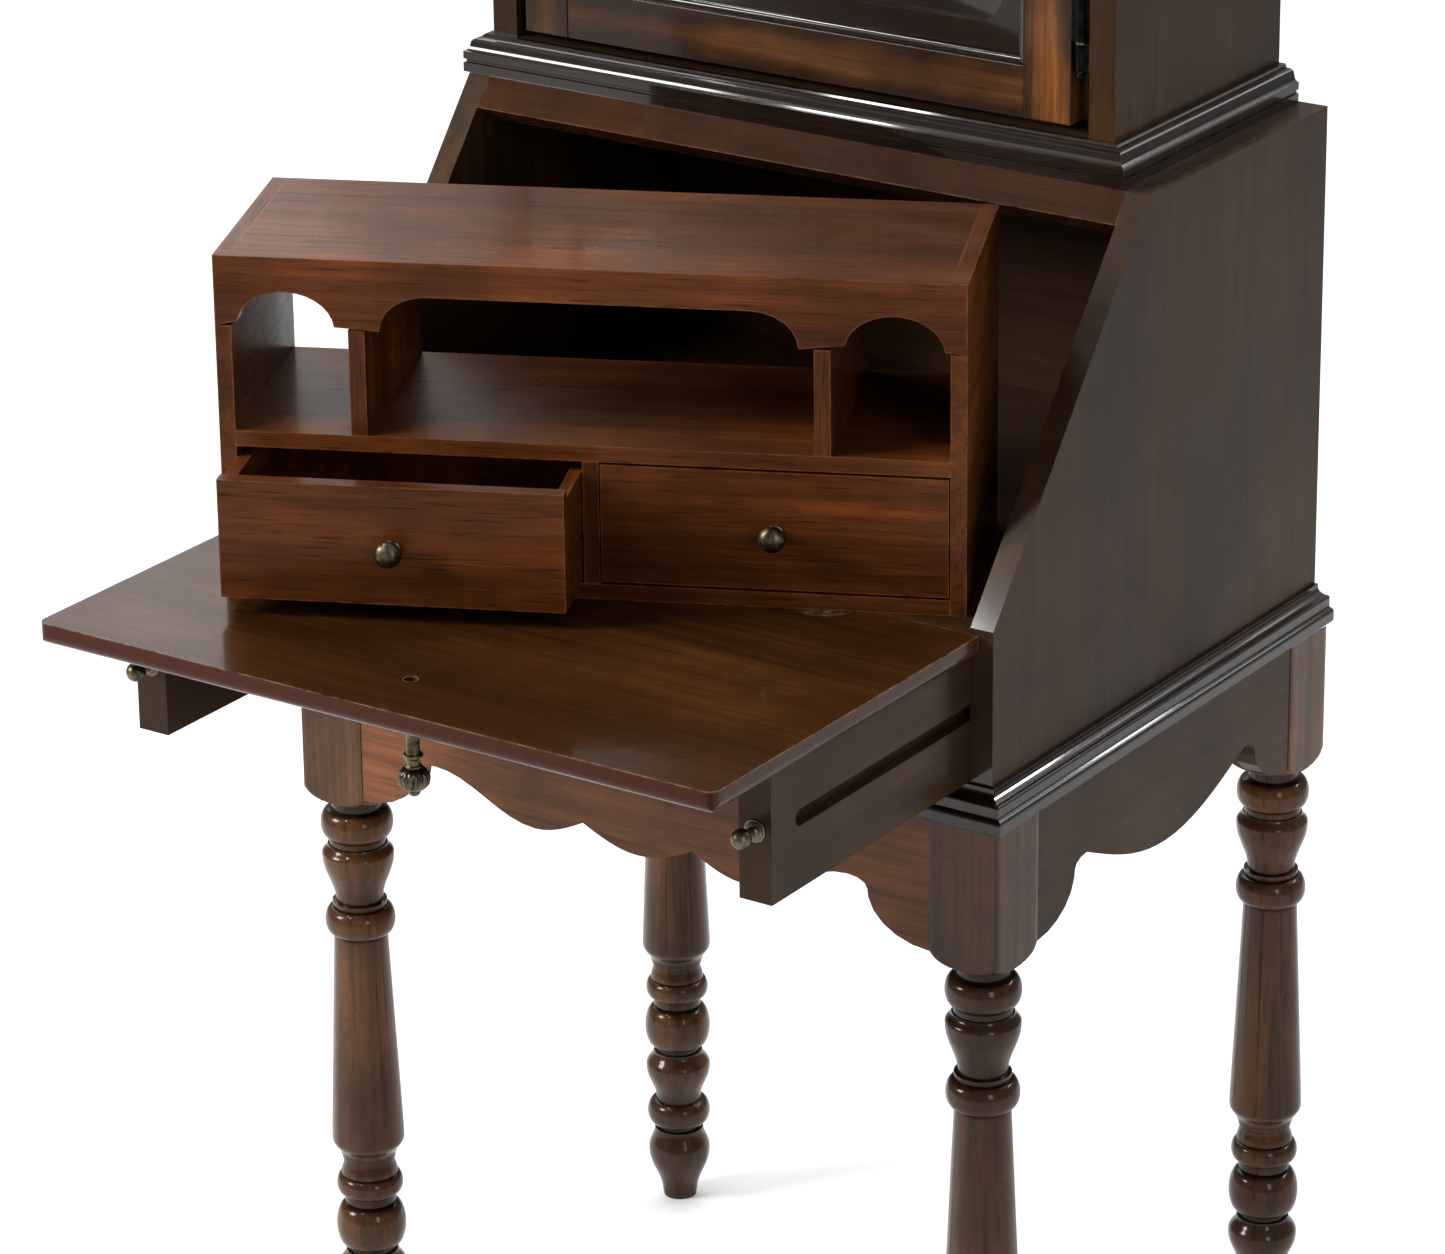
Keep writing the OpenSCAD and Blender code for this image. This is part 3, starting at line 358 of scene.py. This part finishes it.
def bevel(obj, width, segments):
    """Eases the arrises of a board."""
    made = obj.modifiers.new("eased_edges", "BEVEL")
    made.width = width
    made.segments = segments
    made.limit_method = "ANGLE"
    made.angle_limit = math.radians(38)
    made.harden_normals = True
    return made


FINE_EDGES = {
    "pull_mount", "floor_hinge_leaves", "lid_hinge_leaves", "hutch_hinge_leaves", "door_hinge_leaves",
    "hutch_hinge_washers", "loper_stop_pins", "foot_glides", "door_glass",
}
ROUND_EDGES = {"lid_panel", "side_panel_left", "side_panel_right"}


def dress_carried():
    """Gives every carried-over CAD node its material and eased edges."""
    for material, names in CARRIED.items():
        for name in names:
            obj = nodes[name]
            obj.data.materials.clear()
            obj.data.materials.append(MATERIALS[material])
            smooth(obj)
            if name in FINE_EDGES:
                bevel(obj, 0.25 * MM, 1)
            elif name in ROUND_EDGES:
                bevel(obj, 2.2 * MM, 4)
            else:
                bevel(obj, 0.9 * MM, 3)


def mesh_object(name, vertices, faces, material, body):
    """A smooth-shaded piece from points and faces, riding on a body."""
    mesh = bpy.data.meshes.new(name)
    mesh.from_pydata(vertices, [], faces)
    work = bmesh.new()
    work.from_mesh(mesh)
    bmesh.ops.recalc_face_normals(work, faces=work.faces)
    work.to_mesh(mesh)
    work.free()
    obj = bpy.data.objects.new(name, mesh)
    scene.collection.objects.link(obj)
    mesh.materials.append(MATERIALS[material])
    smooth(obj)
    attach(obj, body)
    return obj


def ring_solid(rings, looped=False):
    """Points and faces of a closed solid through rings of equally many points. Its two ends are
    flat, or joined to each other if it is looped."""
    count = len(rings[0])
    vertices = [point for ring in rings for point in ring]
    faces = []
    for k in range(len(rings) if looped else len(rings) - 1):
        this = k * count
        following = (k + 1) % len(rings) * count
        for i in range(count):
            j = (i + 1) % count
            faces.append((this + i, this + j, following + j, following + i))
    if not looped:
        faces.append(tuple(reversed(range(count))))
        faces.append(tuple((len(rings) - 1) * count + i for i in range(count)))
    return vertices, faces


def lathe(name, profile, where, material, body, axis=UP, around=64, shape=None, bored=False):
    """Turns [radius, height] points, in millimetres, about an axis through where.
    shape(radius, angle, height) may change the radius round the turning. A bored turning is open
    along its axis, and its profile's last point joins the first."""
    turn = UP.rotation_difference(Vector(axis)).to_matrix()
    rings = []
    for radius, height in profile:
        ring = []
        for i in range(around):
            angle = 2 * math.pi * i / around
            r = shape(radius, angle, height) if shape else radius
            point = Vector((r * math.cos(angle), r * math.sin(angle), height)) * MM
            ring.append(Vector(where) + turn @ point)
        rings.append(ring)
    return mesh_object(name, *ring_solid(rings, bored), material, body)


def bead(z0, z1, r_in, r_out, steps=14):
    """Profile of a turned bead, from its lower end."""
    points = []
    for k in range(steps + 1):
        a = math.pi * k / steps
        radius = r_in + (r_out - r_in) * math.sin(a) ** 0.9
        points.append((radius, (z0 + z1) / 2 - (z1 - z0) / 2 * math.cos(a)))
    return points


def sweep(z0, r0, z1, r1, steps=14):
    """Profile of a smooth swell from one radius to another."""
    return [
        (r0 + (r1 - r0) * (1 - math.cos(math.pi * k / steps)) / 2, z0 + (z1 - z0) * k / steps)
        for k in range(steps + 1)
    ]


# ---------------------------------------------------------------- legs

POST = 58.0
POST_FOOT = 538.0
GLIDE = 4.0


def leg_profile():
    """The turning, from the glide up to the neck under the post."""
    return (
        [(13.5, GLIDE)] + sweep(GLIDE + 0.5, 15, 44, 26.4) + sweep(46, 26.4, 66, 21)
        + [(18.5, 66.4), (18.5, 70)] + bead(70, 93, 19.5, 27)
        + sweep(95, 19.5, 124, 27.6) + sweep(126, 27.6, 140, 21)
        + [(19, 140.4), (19, 143.6)] + bead(144, 182, 19, 28)
        + [(20.4, 184), (20, 190)] + bead(191, 208, 21.5, 26.6)
        + sweep(209, 22.6, 222, 20, 8) + [(21.3, 222.6), (21.4, 226)]
        + sweep(226.6, 22.5, 240, 28.9, 10) + [(29, 243), (28.3, 261), (21.5, 416), (21.4, 419)]
        + bead(420, 443, 21, 27.8) + [(21.6, 444), (21.6, 448)]
        + sweep(448.6, 18.8, 487, 28.4) + sweep(489, 28.4, 497, 23.6, 8)
        + [(22.4, 497.6), (22.4, 502)] + bead(502.5, 527, 21, 28.7)
        + [(19.8, 528), (19.8, POST_FOOT - 1)]
    )


def square_radius(angle, half, corner):
    """Distance from the centre of a square with rounded corners to its side, at this angle."""
    a = abs((angle + math.pi / 4) % (math.pi / 2) - math.pi / 4)
    side = half / math.cos(a)
    inner = half - corner
    beyond = inner * (math.cos(a) + math.sin(a))
    reach = beyond + math.sqrt(max(corner ** 2 - (inner * (math.cos(a) - math.sin(a))) ** 2, 0))
    return reach if side * math.sin(a) > inner else side


def leg(node, body):
    """Turned leg running up into a square post, whose shoulders the turning has rounded."""
    lo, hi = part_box(node)
    centre = Vector(((lo.x + hi.x) / 2, (lo.y + hi.y) / 2, 0))
    top = hi.z / MM
    dome = [(24 + 18 * math.sin(math.radians(a)), POST_FOOT + 17 - 17 * math.cos(math.radians(a)))
            for a in range(0, 91, 6)]
    dome += [(50, POST_FOOT + 24), (60, POST_FOOT + 29), (60, top)]

    def post_shape(radius, angle, height):
        if height < POST_FOOT:
            return radius
        return min(radius, square_radius(angle, POST / 2, 1.6))

    profile = leg_profile() + [(19.8, POST_FOOT)] + dome
    made = lathe(node + "_turned", profile, centre, "leg", body, around=128, shape=post_shape)
    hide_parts(node)


# ---------------------------------------------------------------- knobs and pull

def round_knob(node, radius, body, axis):
    """Round knob with a collar and a foot, where the CAD knob stands."""
    lo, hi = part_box(node)
    axis = Vector(axis).normalized()
    length = 1.5 * radius + 0.72 * radius * math.sin(math.radians(70))
    centre = (lo + hi) / 2
    foot = centre - axis * (length / 2) * MM
    profile = [(0.62, 0), (0.63, 0.06), (0.6, 0.13), (0.46, 0.2), (0.42, 0.26), (0.36, 0.45),
               (0.35, 0.68), (0.46, 0.74), (0.5, 0.8), (0.46, 0.86)]
    profile += [(math.cos(math.radians(a)), 1.5 + 0.72 * math.sin(math.radians(a)))
                for a in range(-62, 88, 6)]
    profile = [(radius * across, radius * out) for across, out in profile]
    made = lathe(node + "_turned", profile, foot, "brass", body, axis)
    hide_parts(node)


def loper_knob(node, body):
    """Small ball on a thin neck, standing on a round rosette."""
    lo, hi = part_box(node)
    foot = Vector(((lo.x + hi.x) / 2, hi.y, (lo.z + hi.z) / 2))
    ball, neck = 7.4, 9.5
    profile = (
        [(8.6, 0), (8.6, 0.9), (8.1, 1.4), (7.4, 1.5), (7.2, 2.4), (6.2, 3.1), (4.4, 3.4), (3.5, 4.4),
         (3.2, 5.4), (3.2, neck - 2.4), (4.2, neck - 1.6), (4.2, neck - 0.8), (3.3, neck - 0.2)]
        + [(ball * math.cos(math.radians(a)), neck + ball + ball * math.sin(math.radians(a)))
           for a in range(-60, 90, 6)]
    )
    made = lathe(node + "_turned", profile, foot, "brass", body, (0, -1, 0))
    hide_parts(node)


def pull(node, body):
    """Drop pull: eye, tapered stem, collar, fluted melon and a button under it."""
    joint = joints["pull_swing"]
    pin = Vector(joint["pos_m"])
    lobes = 16

    def melon(radius, angle, height):
        if not -57 < height < -39.5:
            return radius
        depth = 0.13 * radius * math.sin(math.pi * (height + 57) / 17.5)
        return radius - depth * (1 - abs(math.cos(lobes / 2 * angle)))

    profile = (
        [(3.4, -4.6), (3.6, -6.5), (4.4, -7.5), (4.7, -16), (5.0, -27)]
        + [(5.4, -28), (6.9, -28.6), (7.1, -29.2), (7.1, -30.4), (6.6, -31.4), (5.4, -32.6), (5.0, -35),
           (5.2, -36.4), (6.0, -37.2), (6.2, -38), (6.0, -38.8), (4.6, -39.6)]
        + [(4.4 + 7.6 * math.cos(math.radians(a)), -47.5 + 8.4 * math.sin(math.radians(a)))
           for a in range(68, -69, -4)]
        + [(1 + 3.5 * math.cos(math.radians(a)), -57.4 + 3.6 * math.sin(math.radians(a)))
           for a in range(30, -86, -10)]
    )
    made = lathe("pull_turned", list(reversed(profile)), pin, "brass", body, around=128, shape=melon)
    eye = lathe("pull_eye", [(1.7, -1.8), (3.0, -1.8), (3.4, -1.3), (3.4, 1.3), (3.0, 1.8), (1.7, 1.8)],
                pin, "brass", body, (1, 0, 0), 48, bored=True)
    tang = lathe("pull_tang", [(2.3, -5.2), (2.3, -4), (1.75, -3)], pin, "brass", body, around=24)
    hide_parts(node)


# ---------------------------------------------------------------- hutch door

def board(name, lo, hi, body):
    """Board between two corners, with eased arrises and the material of its own name."""
    corners = [Vector((x, y, z)) for x in (lo[0], hi[0]) for y in (lo[1], hi[1]) for z in (lo[2], hi[2])]
    faces = [(0, 1, 3, 2), (4, 6, 7, 5), (0, 4, 5, 1), (2, 3, 7, 6), (0, 2, 6, 4), (1, 5, 7, 3)]
    made = mesh_object(name, corners, faces, name, body)
    bevel(made, 1.0 * MM, 3)
    return made


def sticking(name, start, end, inward, depth_axis, body):
    """Ogee bead, 8 wide and 6 deep, along one inner edge of the door, mitred at its ends.
    inward points towards the middle of the opening, and depth_axis out of the door's face."""
    section = [(0, -3.2), (0, 1.6), (0.8, 2.1), (1.6, 1.9), (1.9, 1.1)]
    section += [(1.9 + 4.6 * math.sin(math.radians(a)), 1.3 - 3.9 * (1 - math.cos(math.radians(a))))
                for a in range(0, 91, 15)]
    section += [(7.2, -2.4), (8, -2.7), (8, -3.2)]
    along = (end - start).normalized()
    rings = []
    for point, direction in ((start, 1), (end, -1)):
        rings.append([
            point + (inward * w + depth_axis * d + along * (w * direction)) * MM for w, d in section
        ])
    made = mesh_object(name, *ring_solid(rings), "molding", body)
    smooth(made, 50)
    return made


DOOR_BOARD = 40 * MM
BEAD_SET_BACK = 2.5 * MM


def hutch_door(body):
    """The door's two stiles and two rails, and the ogee bead along their inner edges."""
    lo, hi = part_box("door_frame")
    width = DOOR_BOARD
    for name, axis, centre, grain in (
        ("door_stile_left", 0, lo.x + width / 2, "Z"), ("door_stile_right", 0, hi.x - width / 2, "Z"),
        ("door_rail_low", 2, lo.z + width / 2, "X"), ("door_rail_high", 2, hi.z - width / 2, "X"),
    ):
        MATERIALS[name] = wood(name, grain=grain, burnish=(axis, centre, width / 2), **DOOR)
    pieces = [
        board("door_stile_left", lo, (lo.x + width, hi.y, hi.z), body),
        board("door_stile_right", (hi.x - width, lo.y, lo.z), hi, body),
        board("door_rail_low", (lo.x + width, lo.y, lo.z), (hi.x - width, hi.y, lo.z + width), body),
        board("door_rail_high", (lo.x + width, lo.y, hi.z - width), (hi.x - width, hi.y, hi.z), body),
    ]
    y = lo.y + BEAD_SET_BACK
    corners = [
        Vector((lo.x + width, y, lo.z + width)), Vector((hi.x - width, y, lo.z + width)),
        Vector((hi.x - width, y, hi.z - width)), Vector((lo.x + width, y, hi.z - width)),
    ]
    inwards = [Vector((0, 0, 1)), Vector((-1, 0, 0)), Vector((0, 0, -1)), Vector((1, 0, 0))]
    for k in range(4):
        bead_piece = sticking(f"door_bead_{k + 1}", corners[k], corners[(k + 1) % 4], inwards[k],
                              Vector((0, -1, 0)), body)
    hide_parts("door_frame")


# ---------------------------------------------------------------- studio

FLOOR_WIDTH = 80


def studio_floor():
    """The pale floor that the desk stands on."""
    bpy.ops.mesh.primitive_plane_add(size=FLOOR_WIDTH, location=(0, 0, 0))
    made = bpy.context.object
    made.name = "studio_floor"
    made.data.materials.append(floor_material())


def softbox(name, place, target, size, power):
    """White rectangular light at a place, aimed at a target. Its size is in metres, its power in watts."""
    light = bpy.data.lights.new(name, "AREA")
    light.shape = "RECTANGLE"
    light.size, light.size_y = size
    light.energy = power
    obj = bpy.data.objects.new(name, light)
    obj.location = place
    obj.rotation_euler = (Vector(target) - Vector(place)).to_track_quat("-Z", "Y").to_euler()
    scene.collection.objects.link(obj)


def studio_light():
    """Pale surroundings, a key light high on the left, a weak fill on the right, a wide light over the
    floor behind the desk, and a panel low behind it whose sheen lies on the level surfaces. Two
    narrow strips draw the bright lines on the moldings, and a small lamp the glint at the foot of the
    right side panel's front edge."""
    world = bpy.data.worlds.new("studio")
    scene.world = world
    world.use_nodes = True
    background = world.node_tree.nodes["Background"]
    background.inputs[0].default_value = (1, 1, 1, 1)
    background.inputs[1].default_value = 0.25
    softbox("key", (-2.7, -2.5, 2.6), (0, 0, 0.8), (1.2, 1.2), 140)
    softbox("fill", (3.2, -2.0, 1.8), (0, 0, 0.7), (0.8, 2.0), 24)
    softbox("sweep", (-1.9, 3.4, 4.5), (-1.9, 3.4, 0), (6, 5), 250)
    softbox("sheen", (-3.1, 2.3, 2.5), (0, -0.1, 1.0), (1.6, 1.2), 8)
    softbox("glint", (-0.49, -0.9, 1.78), (0.3, -0.07, 0.8), (0.16, 0.16), 3.2)
    softbox("front_strip", (-1.46, -0.2, 3.4), (0, 0, 0.9), (1.6, 0.12), 25)
    softbox("back_strip", (1.6, 2.8, 2.9), (0.3, 0, 0.9), (1.8, 0.12), 28)


def camera():
    """Long lens, above the desk and to its right, with a slight roll."""
    azimuth = math.radians(34.13)
    elevation = math.radians(21.14)
    roll = math.radians(-0.69)
    place = Vector((2.315, CASE_FRONT - 3.308, 2.339))
    forward = Vector((-math.sin(azimuth) * math.cos(elevation), math.cos(azimuth) * math.cos(elevation),
                      -math.sin(elevation)))
    level = Vector((math.cos(azimuth), math.sin(azimuth), 0))
    upright = level.cross(forward)
    right = math.cos(roll) * level + math.sin(roll) * upright
    up = -math.sin(roll) * level + math.cos(roll) * upright
    data = bpy.data.cameras.new("camera")
    data.sensor_width = 36
    data.lens = 145.6
    data.shift_y = -0.03
    data.clip_end = 300
    obj = bpy.data.objects.new("camera", data)
    obj.matrix_world = Matrix.Translation(place) @ Matrix((right, up, -forward)).transposed().to_4x4()
    scene.collection.objects.link(obj)
    scene.camera = obj


# ---------------------------------------------------------------- the desk

camera()
studio_floor()
studio_light()
scene.view_settings.view_transform = "Standard"

dress_carried()
for leg_node in ("leg_front_left", "leg_front_right", "leg_rear_left", "leg_rear_right"):
    leg(leg_node, "case")
round_knob("drawer_left_knob", 10, "left_drawer", DRAWER_AXIS)
round_knob("drawer_right_knob", 10, "right_drawer", DRAWER_AXIS)
round_knob("door_knob", 10, "hutch_door", (0, -1, 0))
loper_knob("loper_knob_left", "left_loper")
loper_knob("loper_knob_right", "right_loper")
pull("pull_pendant", "pull")
hutch_door("hutch_door")
